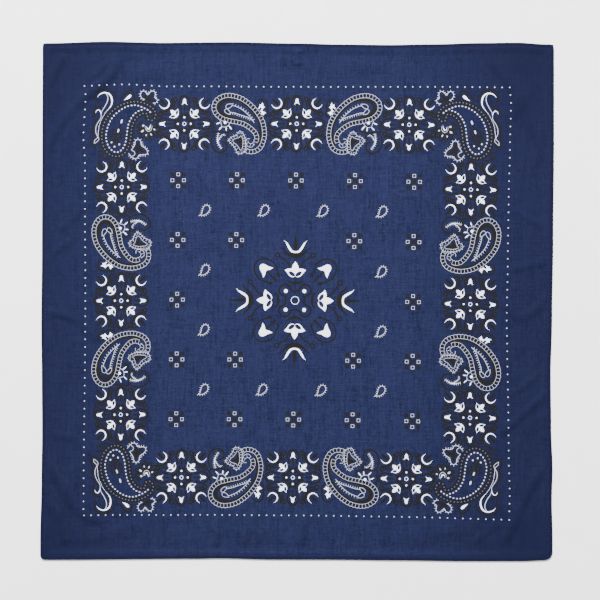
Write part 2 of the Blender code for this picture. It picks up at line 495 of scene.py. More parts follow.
def chained_drop():
    """The drop's border of links, the black ground within it and the curl of its tail."""
    links = smooth_path([
        (18.7, -18.7), (19.8, -14.4), (18.1, -9.0), (12.4, -3.6), (5.6, 0.6), (-1.6, 2.6),
        (-9.0, 4.0), (-18.0, 6.6), (-24.4, 11.6), (-27.0, 18.4), (-24.6, 25.4), (-17.2, 30.2),
        (-8.6, 31.0), (1.6, 28.4), (10.8, 22.5), (18.4, 15.0), (25.2, 4.6), (28.0, -7.0),
        (27.4, -16.0), (23.9, -24.3), (18.0, -28.4), (11.0, -28.8), (7.0, -26.2),
    ], 1.2)
    shapes = curve(
        BLACK,
        (
            0.8, 1.8, 1.9, 1.6, 1.6, 1.7, 2.0, 2.3, 2.7, 3.0, 3.0, 2.8, 2.5, 2.4, 2.4, 2.1, 1.8,
            1.7, 1.6, 1.7, 1.8, 0.8,
        ),
        [
            (21.2, -21.6), (22.3, -15.6), (21.2, -10.0), (18.0, -5.6), (12.4, -0.6), (5.2, 3.5),
            (-2.4, 6.0), (-9.0, 7.4), (-15.0, 9.6), (-19.6, 13.2), (-21.3, 18.1), (-19.6, 23.0),
            (-14.9, 26.0), (-8.1, 26.8), (-1.3, 26.0), (5.2, 23.0), (12.0, 17.2), (17.8, 9.8),
            (21.8, 2.0), (23.9, -5.4), (24.4, -12.4), (22.4, -21.0),
        ],
    )
    round_end = smooth_path([
        (-9.0, 9.2), (-14.4, 11.2), (-18.2, 14.2), (-19.6, 18.1), (-18.2, 22.0), (-14.2, 24.4),
        (-8.0, 25.2),
    ], 1.0)
    for x, y, left_x, left_y in spaced(round_end, 2.2):
        shapes += spot(BLACK, x, y, 0.9, corners=6)
    shapes += chain(links, pitch=3.66, outwards=2.1, inwards=-2.2)
    shapes += curve(WHITE, (0.7, 0.7, 0.7, 0.8, 0.8), [
        (17.3, -20.6), (14.4, -24.2), (9.8, -23.0), (7.9, -18.6), (9.2, -15.2), (12.4, -15.0),
    ])
    shapes += curve(WHITE, (0.7, 0.7, 0.6), [
        (17.0, -17.6), (14.4, -20.4), (11.4, -19.6), (10.0, -17.2),
    ])
    for post in (
        [(15.8, -20.0), (16.8, -22.2)],
        [(13.2, -20.6), (12.4, -23.6)],
        [(10.6, -19.0), (8.6, -21.2)],
    ):
        shapes += line(WHITE, post, 0.6)
    return shapes


def feather_leaf():
    """The toothed leaf that lies along the inside of the drop."""
    shapes = curve(WHITE, (0.8, 0.8, 0.8, 0.8, 0.7, 0.6), [
        (-7.6, 20.8), (-3.9, 19.7), (2.7, 16.6), (8.5, 12.1), (13.9, 6.4), (16.9, 2.2),
    ])
    toothed = smooth_path([(-3.9, 19.7), (2.7, 16.6), (8.5, 12.1), (13.9, 6.4), (15.6, 4.2)])
    shapes += teeth(WHITE, toothed, 2.2, 0.6, 3.1)
    shapes += curve(WHITE, (0.8, 0.8, 0.8, 0.8), [
        (-9.3, 13.0), (-4.8, 12.5), (3.5, 9.8), (11.8, 6.9), (16.9, 2.2),
    ])
    toothed = smooth_path([(-8.8, 12.9), (-4.8, 12.5), (3.5, 9.8), (11.8, 6.9), (14.6, 4.6)])
    shapes += teeth(WHITE, toothed, -2.2, 0.6, 2.55)
    shapes += curve(WHITE, (0.9, 0.75, 0.75, 0.75, 0.75, 0.8, 0.8), [
        (-6.0, 22.0), (-10.6, 22.1), (-13.6, 20.7), (-14.3, 18.5), (-12.7, 17.1), (-9.8, 17.9),
        (-6.6, 20.9),
    ])
    shapes += curve(WHITE, 0.8, [
        (-12.7, 17.1), (-15.2, 16.0), (-15.2, 13.9), (-13.1, 11.8), (-9.6, 11.0), (-9.2, 12.9),
        (-11.2, 15.4), (-12.7, 17.1),
    ])
    return shapes


def linked_heart():
    """The heart-shaped leaf at the drop's tail, edged with small links."""
    heart = smooth_path([
        (-10.6, -16.4), (-6.6, -12.9), (-2.3, -11.6), (-0.7, -8.4), (2.0, -7.2), (4.5, -8.8),
        (6.0, -11.8), (7.4, -15.6), (7.5, -20.6), (7.8, -25.6), (6.0, -29.4), (2.6, -31.0),
        (-0.9, -31.0), (-2.4, -27.4), (-4.8, -23.2), (-8.4, -19.8),
    ], 1.5, closed=True)
    heart = heart + heart[:1]
    shapes = []
    for x, y, left_x, left_y in spaced(heart, 3.1, 0.6):
        post = [(x + left_x * 1.5, y + left_y * 1.5), (x - left_x * 2.4, y - left_y * 2.4)]
        shapes += line(WHITE, post, 0.6)
    shapes += line(WHITE, heart, 0.75)
    inside = smooth_path([
        (-6.2, -16.6), (-2.3, -14.6), (1.2, -13.6), (2.4, -11.8), (3.9, -13.4), (4.9, -17.2),
        (4.7, -21.6), (4.2, -25.6), (2.2, -27.4), (0.4, -24.4), (-2.3, -21.2), (-4.8, -19.4),
    ], 1.5, closed=True)
    shapes.append((BARE, inside))
    shapes += line(WHITE, inside, 0.7, closed=True)
    shapes += blob(BLACK, [
        (-3.4, -16.4), (0.6, -15.2), (2.6, -13.8), (4.0, -17.2), (3.7, -22.4), (2.8, -25.6),
        (1.4, -22.8), (0.4, -19.6), (-2.6, -18.2),
    ])
    return shapes


def solid_leaf():
    """The small white leaf outside the bend, with black scrolls round it."""
    leaf = [
        (20.6, 17.0), (22.3, 20.0), (22.2, 22.0), (23.9, 21.4), (25.5, 24.0), (26.7, 21.6),
        (27.0, 19.9), (28.6, 18.7), (26.8, 17.1), (25.8, 15.8), (26.1, 14.6), (27.4, 14.0),
        (29.9, 12.9), (27.9, 11.1), (26.9, 9.5), (25.4, 10.8), (23.3, 11.5), (24.7, 12.7),
        (22.8, 14.6), (24.2, 16.3), (24.4, 17.5), (23.8, 18.1), (21.9, 16.4),
    ]
    shapes = [(WHITE, leaf)]
    shapes += curve(BLACK, 1.4, [
        (19.5, 23.4), (21.9, 26.2), (26.6, 26.8), (29.8, 24.9), (30.6, 22.0), (31.7, 19.8),
        (30.6, 16.4), (31.9, 13.0), (31.4, 10.2), (29.3, 8.0), (27.3, 6.9),
    ])
    shapes += curve(BLACK, 1.5, [(32.6, -4.0), (34.6, -9.0), (33.8, -14.6), (35.6, -17.0)])
    return shapes


def half_flower():
    """The half flower under the drop's round end."""
    shapes = []
    # Columns: inner end, outer end, width in the middle.
    petals = (
        ((-20.0, 2.2), (-24.3, 0.6), 2.0), ((-18.0, -2.2), (-21.3, -5.6), 1.9),
        ((-13.5, -2.6), (-13.2, -6.6), 1.9), ((-11.0, -0.8), (-7.4, -5.2), 2.1),
    )
    for start, end, width in petals:
        middle = ((start[0] + end[0]) / 2, (start[1] + end[1]) / 2)
        shapes += line(WHITE, [start, middle, end], (1.0, width, 1.2))
    shapes += curve(WHITE, 0.8, [
        (-20.4, 4.4), (-19.0, 1.6), (-18.2, -1.8), (-14.7, -2.6), (-11.6, -1.4), (-9.6, 1.3),
        (-8.0, 3.2),
    ])
    shapes += spot(WHITE, -14.7, 2.3, 1.9, corners=9)
    shapes += curve(BLACK, 1.5, [
        (-27.4, 8.2), (-26.2, 5.0), (-28.6, 1.4), (-26.6, -2.4), (-28.6, -5.4), (-25.6, -8.0),
        (-20.4, -7.6), (-15.8, -8.6), (-10.4, -7.4), (-6.4, -7.0), (-4.8, -4.0), (-5.8, -0.6),
    ])
    return shapes


def comb_crescent():
    """The toothed crescent inside a black ring."""
    spine = smooth_path([
        (-21.6, -8.8), (-22.6, -13.5), (-22.5, -17.8), (-21.0, -21.8), (-18.0, -26.0),
    ])
    shapes = line(WHITE, spine, (0.8, 1.2, 1.6, 1.2, 0.7))
    shapes += teeth(WHITE, spine, 1.7, 0.5, 2.1, first=0.6)
    shapes += teeth(WHITE, spine, -1.7, 0.5, 2.1, first=0.8)
    branch = smooth_path([
        (-21.8, -17.0), (-20.2, -13.9), (-18.0, -11.2), (-15.9, -10.2), (-14.2, -11.9),
    ])
    shapes += line(WHITE, branch, (1.2, 1.0, 0.8))
    shapes += teeth(WHITE, branch, -1.5, 0.5, 2.0, first=2.2)
    shapes += curve(BLACK, (0.9, 1.5, 1.5, 1.5, 1.5, 1.5, 1.2), [
        (-26.6, -8.4), (-28.9, -13.5), (-29.3, -20.1), (-27.2, -26.0), (-22.6, -29.4),
        (-17.4, -29.6), (-13.6, -27.0), (-12.3, -22.8), (-14.0, -19.0), (-17.6, -18.6),
    ])
    return shapes + curve(BLACK, 1.4, [(-14.8, -15.4), (-12.0, -12.8), (-11.4, -8.6)])


def side_paisley():
    """The one to the left of the middle of the top side."""
    shapes = chained_drop() + feather_leaf() + linked_heart()
    return shapes + solid_leaf() + half_flower() + comb_crescent()


# The corner paisley: a drop edged with white dots, in a black band of pale blue beads, with an
# eye-shaped flower in the hook of its tail and leaves and scrolls round it, one in each corner.
def beaded_drop():
    """The drop's black band with its beads, and the line of white dots within it."""
    body = smooth_path([
        (27.0, 18.6), (22.6, 21.8), (13.8, 25.6), (6.4, 26.0), (-1.0, 23.7), (-8.4, 19.0),
        (-14.6, 12.6), (-18.9, 3.9), (-21.0, -5.4), (-20.4, -12.0), (-17.4, -19.2), (-12.0, -23.6),
        (-7.0, -23.6), (-2.2, -19.4), (0.6, -11.8), (1.9, -2.4), (3.1, 5.2), (5.8, 11.6),
        (10.2, 17.3), (15.6, 20.6), (21.0, 21.6),
    ], 1.2)
    band = smooth_path([
        (28.4, 9.6), (31.4, 11.9), (32.6, 16.0), (30.8, 21.2), (25.2, 25.8), (18.5, 28.7),
        (11.4, 30.0), (4.2, 29.4), (-3.5, 27.1), (-9.8, 23.7), (-16.0, 18.2), (-21.4, 10.6),
        (-24.3, 3.6), (-25.6, -4.9), (-25.0, -12.7), (-22.4, -20.4), (-16.4, -26.8), (-8.6, -28.6),
        (-2.0, -26.2), (2.5, -20.2), (5.0, -13.0), (6.1, -5.6), (6.9, 1.9), (9.4, 9.2),
        (14.1, 14.8), (19.4, 17.3), (23.6, 16.6), (23.8, 13.2), (25.2, 9.8),
    ], 1.2)
    bead_pitch = 3.72
    shapes = line(BLACK, band, 4.3)
    for x, y, left_x, left_y in spaced(band, bead_pitch, 0.4):
        shapes += spot(BLACK, x, y, 2.8)
    shapes += curve(BLACK, 1.6, [(27.0, 15.0), (28.8, 16.8), (27.4, 20.0)])
    for x, y, left_x, left_y in spaced(band, bead_pitch, 0.4):
        shapes += spot(PALE, x, y, 0.82, corners=6)
    for x, y, left_x, left_y in spaced(body, 3.7, 0.3):
        turn = math.degrees(math.atan2(-left_x, left_y))
        shapes += spot(WHITE, x, y, 0.75, long=1.0, turn=turn)
    return shapes


def fern():
    """The black fern inside the drop, with white dots and two small white drops."""
    shapes = curve(BLACK, (1.2, 1.4, 1.6, 1.2), [
        (-4.8, 6.0), (-7.0, 1.0), (-9.8, -6.4), (-12.4, -13.0),
    ])
    # Columns: x, y, direction in degrees, half length.
    fronds = (
        (-12.0, -2.6, 118, 3.6), (-15.0, -4.6, 92, 3.4), (-13.6, -9.0, 140, 2.8),
        (-4.4, -2.6, 50, 3.4), (-3.4, -6.6, 62, 3.2), (-6.6, -10.0, 40, 3.0),
        (-9.6, -12.4, 100, 2.4),
    )
    for x, y, turn, long in fronds:
        outline = spot(BLACK, x, y, 1.5, long=long, turn=turn)[0][1]
        shapes += line(BLACK, outline, 0.9, closed=True)
    for x, y in ((-15.0, -13.5), (-11.8, -18.1), (-6.6, -15.7)):
        shapes += spot(BLACK, x, y, 2.2)
        shapes += spot(WHITE, x, y, 1.0)
    shapes += spot(BLACK, -7.7, -1.0, 2.0, long=3.2, turn=72)
    shapes += spot(WHITE, -4.1, 8.9, 1.05, long=2.4, turn=72)
    return shapes + spot(WHITE, -7.7, -1.0, 1.0, long=2.2, turn=72)


def eye_flower():
    """The flower like an eye, in the hook of the drop's tail."""
    shapes = []
    middle = (25.1, 1.4)
    reach = 8.4
    # Columns: direction in degrees, half length.
    black_petals = (
        (168, 5.0), (200, 5.2), (232, 4.6), (262, 4.8), (292, 4.6), (322, 5.0), (352, 4.4),
    )
    for turn, long in black_petals:
        x = middle[0] + reach * math.cos(math.radians(turn))
        y = middle[1] + reach * math.sin(math.radians(turn))
        outline = spot(BLACK, x, y, 2.1, long=long, turn=turn)[0][1]
        shapes += line(BLACK, outline, 1.3, closed=True)
    # Columns: x, y, half width, half length, direction in degrees.
    white_petals = (
        (19.3, 4.2, 1.05, 1.4, 0), (18.5, -1.6, 1.05, 1.8, 35), (22.6, -6.0, 0.65, 1.2, 75),
        (27.8, -5.2, 0.75, 1.5, -55), (31.4, 0.0, 0.8, 1.2, -35),
    )
    edge = 0.9
    for x, y, wide, long, turn in white_petals:
        shapes += spot(BLACK, x, y, wide + edge, long=long + edge, turn=turn)
        shapes += spot(WHITE, x, y, wide, long=long, turn=turn)
    shapes += spot(BARE, 25.1, 2.4, 3.4, corners=12)
    shapes += curve(WHITE, (0.5, 0.8, 0.9, 0.8, 0.5), [
        (21.8, 4.2), (21.8, 0.6), (25.1, -2.1), (28.4, 0.6), (28.6, 5.0),
    ], 1.1)
    shapes += curve(WHITE, (0.6, 1.5, 2.0, 1.3, 0.6), [
        (22.9, 3.8), (23.4, 1.6), (25.1, 0.4), (26.6, 2.6), (27.4, 5.4),
    ], 1.1)
    return shapes + curve(BLACK, 1.4, [(14.4, 6.6), (16.4, 8.4), (19.2, 7.4)])


def toothed_heart():
    """The heart-shaped leaf at the drop's point, toothed on its inside."""
    heart = smooth_path([
        (3.7, -25.4), (6.0, -28.3), (8.4, -30.3), (10.8, -31.2), (13.4, -30.2), (14.9, -27.4),
        (18.5, -26.8), (21.8, -26.9), (24.2, -25.2), (23.6, -22.4), (21.4, -19.8), (18.0, -17.6),
        (17.0, -14.6), (16.4, -12.0), (14.1, -10.6), (11.8, -11.2), (10.6, -13.4), (10.3, -16.2),
        (8.4, -19.2), (6.4, -22.0),
    ], 1.3)
    shapes = line(WHITE, heart, 0.95)
    shapes += curve(WHITE, 0.85, [
        (6.4, -22.0), (9.2, -23.3), (10.5, -25.3), (9.8, -27.4), (7.8, -28.4),
    ], 1.2)
    shapes += teeth(WHITE, heart[2:-3], -2.1, 0.65, 2.5)
    shapes += curve(BLACK, (1.4, 3.4, 3.2, 1.6), [
        (14.0, -14.4), (13.6, -18.6), (16.6, -22.0), (20.8, -24.2),
    ])
    shapes += curve(BLACK, (3.0, 3.0, 1.2), [(13.6, -18.4), (13.2, -22.8), (13.6, -27.6)])
    return shapes + curve(BLACK, (2.4, 1.2), [(13.0, -20.0), (10.2, -20.6)])


def two_lobed_leaf():
    """The toothed leaf with two lobes, above the drop's tail."""
    lobes = smooth_path([
        (20.8, 32.0), (18.0, 33.4), (16.3, 35.8), (16.2, 38.6), (17.6, 40.9), (19.9, 41.3),
        (22.1, 39.8), (23.6, 37.2), (25.4, 38.9), (27.2, 40.7), (29.7, 41.4), (31.7, 39.7),
        (32.1, 36.8), (31.4, 34.4), (33.0, 33.0), (34.6, 31.9), (33.9, 30.0), (32.0, 28.4),
        (29.6, 28.4),
    ], 1.3)
    shapes = line(WHITE, lobes, 0.95)
    shapes += teeth(WHITE, lobes[1:], 1.8, 0.6, 2.4)
    shapes += curve(BLACK, (1.6, 4.0, 3.4, 1.4), [
        (20.4, 35.6), (23.4, 33.2), (27.0, 31.4), (30.6, 31.0),
    ])
    return shapes + curve(BLACK, (3.0, 2.6, 1.2), [(25.4, 32.4), (27.0, 35.0), (28.6, 37.4)])


def outer_scroll():
    """The small drop above, and the long scroll down the outer side of the paisley."""
    shapes = curve(BLACK, 1.8, [
        (-4.8, 33.0), (-2.2, 37.0), (2.0, 41.2), (6.8, 42.0), (8.8, 38.0), (9.4, 33.4),
    ])
    shapes += curve(WHITE, (0.8, 2.0, 3.2, 3.9, 2.8), [
        (-1.6, 31.7), (0.8, 33.1), (2.9, 34.6), (4.4, 35.9), (5.5, 37.2),
    ], 1.2)
    shapes += curve(BLACK, (1.0, 1.5, 1.5, 1.5, 1.0), [
        (-33.0, 32.6), (-33.0, 37.6), (-29.2, 42.0), (-22.0, 43.4), (-15.0, 41.4), (-11.0, 36.6),
        (-10.6, 29.6),
    ])
    shapes += curve(BLACK, 1.5, [(-33.4, 31.8), (-31.2, 30.4), (-30.6, 33.4)])
    shapes += curve(BLACK, 1.5, [
        (-33.2, 14.0), (-35.0, 18.6), (-33.4, 23.4), (-29.4, 25.2), (-25.4, 26.4),
    ])
    shapes += curve(BLACK, 1.4, [
        (-29.8, 12.8), (-33.6, 7.4), (-35.6, 0.6), (-34.6, -5.6), (-36.4, -11.4), (-36.6, -16.4),
        (-33.0, -17.4), (-28.6, -14.4),
    ])
    shapes += curve(
        WHITE,
        (0.6, 1.6, 2.0, 2.0, 2.3, 2.4, 2.2, 1.7, 1.2, 1.0, 0.9, 0.9, 0.9, 0.9, 1.0, 1.0, 0.9),
        [
            (-30.3, 35.3), (-28.1, 38.2), (-23.9, 39.9), (-20.0, 39.7), (-17.0, 37.7),
            (-15.3, 34.7), (-14.6, 31.0), (-15.1, 27.2), (-17.2, 23.7), (-20.6, 19.8),
            (-23.1, 16.4), (-25.0, 12.8), (-27.0, 8.8), (-28.4, 5.0), (-29.0, 0.6), (-29.6, -4.0),
            (-29.8, -7.7),
        ],
    )
    shapes += curve(WHITE, (1.0, 1.1, 1.1, 1.1, 1.0, 0.9, 0.9, 0.9, 0.9, 0.9, 1.0, 1.0, 0.9), [
        (-21.4, 39.4), (-19.4, 36.2), (-19.3, 32.0), (-20.7, 28.1), (-23.1, 23.9), (-25.4, 20.4),
        (-26.4, 16.6), (-26.3, 13.6), (-28.0, 10.4), (-30.4, 7.0), (-32.0, 2.6), (-32.2, -2.0),
        (-30.9, -5.4), (-29.8, -7.7),
    ])
    shapes += curve(WHITE, (0.7, 1.5, 1.6, 1.4, 1.0), [
        (-32.5, 18.3), (-31.2, 21.0), (-28.9, 21.7), (-27.2, 19.8), (-26.3, 16.6),
    ])
    loop = smooth_path([
        (-29.6, -7.4), (-28.8, -10.4), (-31.2, -12.9), (-33.7, -14.4), (-33.1, -10.9),
        (-31.1, -9.3),
    ], 1.1, closed=True)
    shapes += line(WHITE, loop, 0.85, closed=True)
    shapes += curve(BLACK, 1.4, [
        (-30.6, -23.0), (-26.4, -22.6), (-23.6, -25.6), (-26.0, -28.6), (-30.2, -27.4),
    ])
    return shapes + curve(BLACK, 1.4, [(-26.6, -28.4), (-22.8, -31.0), (-17.6, -30.6)])


def corner_paisley():
    """The one in the upper left corner."""
    shapes = beaded_drop() + fern() + eye_flower()
    return shapes + toothed_heart() + two_lobed_leaf() + outer_scroll()


# The field: groups of four small squares with toothed drops between them, on one even pitch, fill
# the ground round the centre medallion.
def square_ring(ink, x, y, outer, inner):
    """A square printed line, from its outer and inner widths."""
    half = (outer + inner) / 4
    path = [(x - half, y - half), (x + half, y - half), (x + half, y + half), (x - half, y + half)]
    return line(ink, path, (outer - inner) / 2 * math.sqrt(2), closed=True)


def four_squares():
    """Four white squares round a black one, and four black ones at the corners."""
    pitch = 6.3
    shapes = square_ring(BLACK, 0, 0, 3.7, 1.3)
    shapes += turned_round(line(BLACK, [(1.4, 1.4), (4.6, 4.6)], 0.9))
    shapes += turned_round(square_ring(BLACK, pitch, pitch, 3.7, 1.3))
    return shapes + turned_round(square_ring(WHITE, pitch, 0, 3.85, 2.5))


def toothed_drop():
    """A small drop with its tip to the lower left."""
    outline = smooth_path([
        (-6.6, -5.2), (-5.6, -2.6), (-4.8, 1.3), (-3.4, 3.9), (-1.2, 5.2), (1.2, 4.6), (2.5, 2.6),
        (2.4, -0.2), (1.1, -2.4), (-1.2, -4.3), (-3.8, -5.5),
    ], 1.4, closed=True)
    shapes = line(WHITE, outline, 0.85, closed=True)
    shapes += teeth(WHITE, outline + outline[:1], 1.7, 0.6, 2.15, first=0.4)
    return shapes + line(WHITE, [(-6.4, -5.0), (-9.2, -6.2)], 0.9)


# Where the figures stand, from the middle of the print.
MEDALLION_ROW = 189.1
MEDALLION_GAP = 121.7
CENTRE_MEDALLION = (0.5, 0.8)
SIDE_PAISLEY = (-62.9, 188.2)
CORNER_PAISLEY = (-185.45, 183.2)
FIELD_PITCH = 63.9
FIELD_RISE = 1.0
# So many pitches round the middle are kept clear for the centre medallion.
CENTRE_ROOM = 1.2


def draw_print():
    """All of the figures in their places, as (ink, outline) pairs."""
    quarter = moved(corner_paisley(), *CORNER_PAISLEY)
    paisley = moved(side_paisley(), *SIDE_PAISLEY)
    quarter += paisley + [(ink, [(-y, -x) for x, y in outline]) for ink, outline in paisley]
    top = both_sides(quarter)
    shapes = top + [(ink, [(x, -y) for x, y in outline]) for ink, outline in top]
    flower = small_medallion()
    for step in (-1, 0, 1):
        shapes += turned_round(moved(flower, x=step * MEDALLION_GAP, y=MEDALLION_ROW))
    shapes += moved(centre_medallion(), *CENTRE_MEDALLION)
    for figure, places in (
        (four_squares(), (-2, -1, 0, 1, 2)),
        (toothed_drop(), (-1.5, -0.5, 0.5, 1.5)),
    ):
        for column in places:
            for row in places:
                if math.hypot(column, row) > CENTRE_ROOM:
                    shapes += moved(figure, column * FIELD_PITCH, row * FIELD_PITCH + FIELD_RISE)
    shapes += dotted_square()
    return [
        (ink, crept(outline) if ink == WHITE and len(outline) > SPOT_CORNERS else outline)
        for ink, outline in shapes
    ]


# How far the print has moved on the cloth as it lies. Columns: side to the right (1), the middle
# (0) or the left (-1), the same for up and down, distance to the right, distance up.
PRINT_SHIFT = (
    (-1, -1, -0.3, -0.8),
    (0, -1, -4.6, -0.2),
    (1, -1, -2.9, -3.2),
    (-1, 0, 0.3, 0.8),
    (1, 0, -2.8, -3.2),
    (-1, 1, 1.1, 1.4),
    (0, 1, -0.2, 2.0),
    (1, 1, -1.5, 0.1),
)
SHIFT_PLACE = 200.0


def lay_print(u, v):
    """Where a point of the print as drawn comes to lie on the cloth."""
    a = u / SHIFT_PLACE
    b = v / SHIFT_PLACE
    x, y = u, v
    for side_a, side_b, right, up in PRINT_SHIFT:
        if side_a and side_b:
            share = (1 + a * side_a) * (1 + b * side_b) * (a * side_a + b * side_b - 1) / 4
        elif side_a:
            share = (1 + a * side_a) * (1 - b * b) / 2
        else:
            share = (1 - a * a) * (1 + b * side_b) / 2
        x += right * share
        y += up * share
    return x, y


whole_print = draw_print()


# ---------------------------------------------------------------------------------------------
# The panel itself: one thin sheet of plain-weave cotton. Its edge is rolled over and tucked under,
# it stands over the hem all round, and the print is set into its face as areas of ink between
# areas of bare cotton.

CLOTH = 0.45
FLOOR_GAP = 0.05
ROLL = 0.7
ROLL_TURN = 30
ROLL_ROWS = 180 // ROLL_TURN + 1
TUCK = 1.6
FACE_HEIGHT = FLOOR_GAP + CLOTH
# The cloth lies this high over the hem and comes down between the two insets. The stitches draw
# it in along their line.
HEM_TOP = 1.28
HEM_STEP_START = 5.4
HEM_STEP_END = 13.0
STITCH_LINE = 4.6
STITCH_DEPTH = 0.08
# The small waves of the hem, which rise and fade between these insets.
PUCKER = 0.128
PUCKER_RISE = (0.8, 5.8)
PUCKER_FALL = (7.6, HEM_STEP_END)
RIM_INSETS = (1.3, 2.2, 3.2, 4.1, STITCH_LINE, 5.1, 6.0, 6.8, 7.6, 8.5, 9.6, 11.2, HEM_STEP_END)
# The rows of the rim that the back does without.
BACK_SKIPS = (10, 12, 13, 15, 17, 19)
# The distances between the mesh's points: along the edge, in the margin and in the field.
COLUMN_PITCH = 4.4
MARGIN_PITCH = 3.5
MARGIN_ROWS = 8
GRID_PITCH = 8.0
# Points nearer to each other than this are joined. Triangles are kept only inside the outlines.
SAME_PLACE = 0.002
INSIDE_OUTLINES = 1


def ring_places(inset, columns_x, columns_y):
    """Points round the cloth at one inset, anticlockwise from the lower left corner."""
    width = HALF_WIDTH - inset
    length = HALF_LENGTH - inset
    across = [2.0 * n / columns_x - 1.0 for n in range(columns_x)]
    along = [2.0 * n / columns_y - 1.0 for n in range(columns_y)]
    places = [(width * share, -length) for share in across]
    places += [(width, length * share) for share in along]
    places += [(-width * share, length) for share in across]
    places += [(-width, -length * share) for share in along]
    return places


def pucker(run):
    """The small waves that sewing leaves along a hem."""
    waves = math.sin(run / 2.1) + 0.8 * math.sin(run / 3.37 + 1.1) + 0.6 * math.sin(run / 1.57 + 0.4)
    return PUCKER * waves * (0.7 + 0.3 * math.sin(run / 21.0))


# The narrow folds left where the cloth was packed and pulled straight.
# Columns: knots along the fold, half width, height.
FOLDS = (
    (((-278, 150), (-258, 186), (-231, 217), (-202, 242), (-187, 268)), 8.5, 1.6),
    (((-274, 225), (-260, 246), (-251, 268)), 7.8, 1.3),
    (((195, 276), (216, 248), (233, 227), (247, 194), (260, 166), (270, 144)), 8.5, 1.5),
    (((-257, 75), (-241, 89), (-227, 104)), 6.5, 0.8),
    (((-276, 45), (-255, 57), (-233, 72)), 6.5, 0.7),
    (((-276, -14), (-253, -14), (-231, -25), (-215, -44)), 7.2, 0.9),
    (((-276, -130), (-259, -143), (-238, -147)), 6.5, 0.8),
    (((-277, -164), (-259, -188), (-248, -210), (-231, -227), (-206, -240)), 7.8, 1.4),
    (((-276, -210), (-259, -229), (-247, -262)), 7.8, 1.4),
    (((270, -172), (255, -192), (243, -216), (230, -242), (221, -264)), 8.5, 1.4),
    (((272, -97), (255, -111), (235, -128), (216, -145)), 7.2, 1.1),
    (((265, -74), (244, -91), (225, -102)), 6.5, 0.7),
    (((218, 2), (235, -16), (253, -12), (270, 6)), 7.2, 1.1),
    (((231, 35), (251, 39), (270, 43)), 6.5, 0.8),
    (((268, 79), (248, 89), (227, 100)), 6.5, 0.6),
    (((-147, -224), (-144, -265)), 5.9, 0.6),
    (((-74, -221), (-90, -265)), 6.5, 0.8),
    (((-42, -221), (-58, -265)), 6.5, 0.8),
    (((12, -226), (3, -265)), 6.5, 0.7),
    (((59, -235), (55, -267)), 5.9, 0.7),
    (((96, -224), (94, -265)), 6.5, 0.7),
    (((139, -226), (137, -262)), 6.5, 0.6),
    (((186, -262), (218, -237)), 6.5, 0.6),
    (((2, 272), (1, 252)), 5.9, 1.1),
    (((25, 268), (23, 234)), 6.5, 0.7),
    (((-196, 262), (-214, 246), (-226, 236)), 6.5, 0.7),
    (((-1, 248), (-4, 160), (0, 60), (-5, -40), (-2, -150)), 9.1, 0.6),
)
FOLD_STEP = 6.0
FOLD_ROWS = (-1.0, -0.5, 0.0, 0.5, 1.0)
# The extra points along a fold keep this far away from the rim.
FOLD_CLEAR = 3.0
# A fold fades over this share of its length at each end, and over the hem between these insets.
FOLD_END = 1.0 / 6.0
FOLD_RISE = (4.0, 10.0)
folds = []
for knots, half_width, top in FOLDS:
    path = smooth_path(knots, FOLD_STEP)
    low_x = min(x for x, y in path) - half_width
    high_x = max(x for x, y in path) + half_width
    low_y = min(y for x, y in path) - half_width
    high_y = max(y for x, y in path) + half_width
    folds.append((low_x, high_x, low_y, high_y, path, half_width, top))


def fold_height(x, y):
    """The height of the narrow folds, which fade at their ends."""
    height = 0.0
    for low_x, high_x, low_y, high_y, path, half_width, top in folds:
        if not (low_x < x < high_x and low_y < y < high_y):
            continue
        nearest = half_width
        place = 0.0
        for step, ((ax, ay), (bx, by)) in enumerate(zip(path, path[1:])):
            run_x = bx - ax
            run_y = by - ay
            share = ((x - ax) * run_x + (y - ay) * run_y) / (run_x * run_x + run_y * run_y)
            share = min(max(share, 0.0), 1.0)
            away = math.dist((x, y), (ax + run_x * share, ay + run_y * share))
            if away < nearest:
                nearest = away
                place = (step + share) / (len(path) - 1)
        fall = 1.0 - (nearest / half_width) ** 2
        uneven = 0.8 + 0.2 * math.sin(place * 9.0 + top * 40.0)
        height += top * uneven * fall * fall * rise(min(place, 1.0 - place), 0.0, FOLD_END)
    return height


def face_height(x, y):
    """How high the cloth's upper face lies, away from the hems."""
    return FACE_HEIGHT + crease_height(x, y) + fold_height(x, y)


# The rim is built in rows from the tucked end, round the roll and over the hem.
# Columns: inset, height of the upper face, share of the puckers.
roll_middle = FLOOR_GAP + ROLL
rim_rows = [(TUCK, FLOOR_GAP, 0.0)]
for row in range(ROLL_ROWS):
    turn = math.radians(row * ROLL_TURN - 90)
    rim_rows.append((ROLL - ROLL * math.cos(turn), roll_middle + ROLL * math.sin(turn), 0.0))
for inset in RIM_INSETS:
    down = rise(inset, HEM_STEP_START, HEM_STEP_END)
    height = HEM_TOP + (FACE_HEIGHT - HEM_TOP) * down
    if inset == STITCH_LINE:
        height -= STITCH_DEPTH
    waves = rise(inset, *PUCKER_RISE) * (1.0 - rise(inset, *PUCKER_FALL))
    rim_rows.append((inset, height, waves))
columns_x = round(2.0 * HALF_WIDTH / COLUMN_PITCH)
columns_y = round(2.0 * HALF_LENGTH / COLUMN_PITCH)
columns = 2 * (columns_x + columns_y)
edge_line = [lay_edge(x, y) for x, y in ring_places(0.0, columns_x, columns_y)]
middle_x = (min(x for x, y in edge_line) + max(x for x, y in edge_line)) / 2.0
middle_y = (min(y for x, y in edge_line) + max(y for x, y in edge_line)) / 2.0

rim = []
for inset, height, waves in rim_rows:
    row = []
    for column, (x, y) in enumerate(ring_places(inset, columns_x, columns_y)):
        laid_x, laid_y = lay_edge(x, y)
        z = height + waves * pucker(column * COLUMN_PITCH) + crease_height(x, y)
        z += fold_height(laid_x, laid_y) * rise(inset, *FOLD_RISE)
        row.append(Vector((laid_x, laid_y, z)))
    rim.append(row)


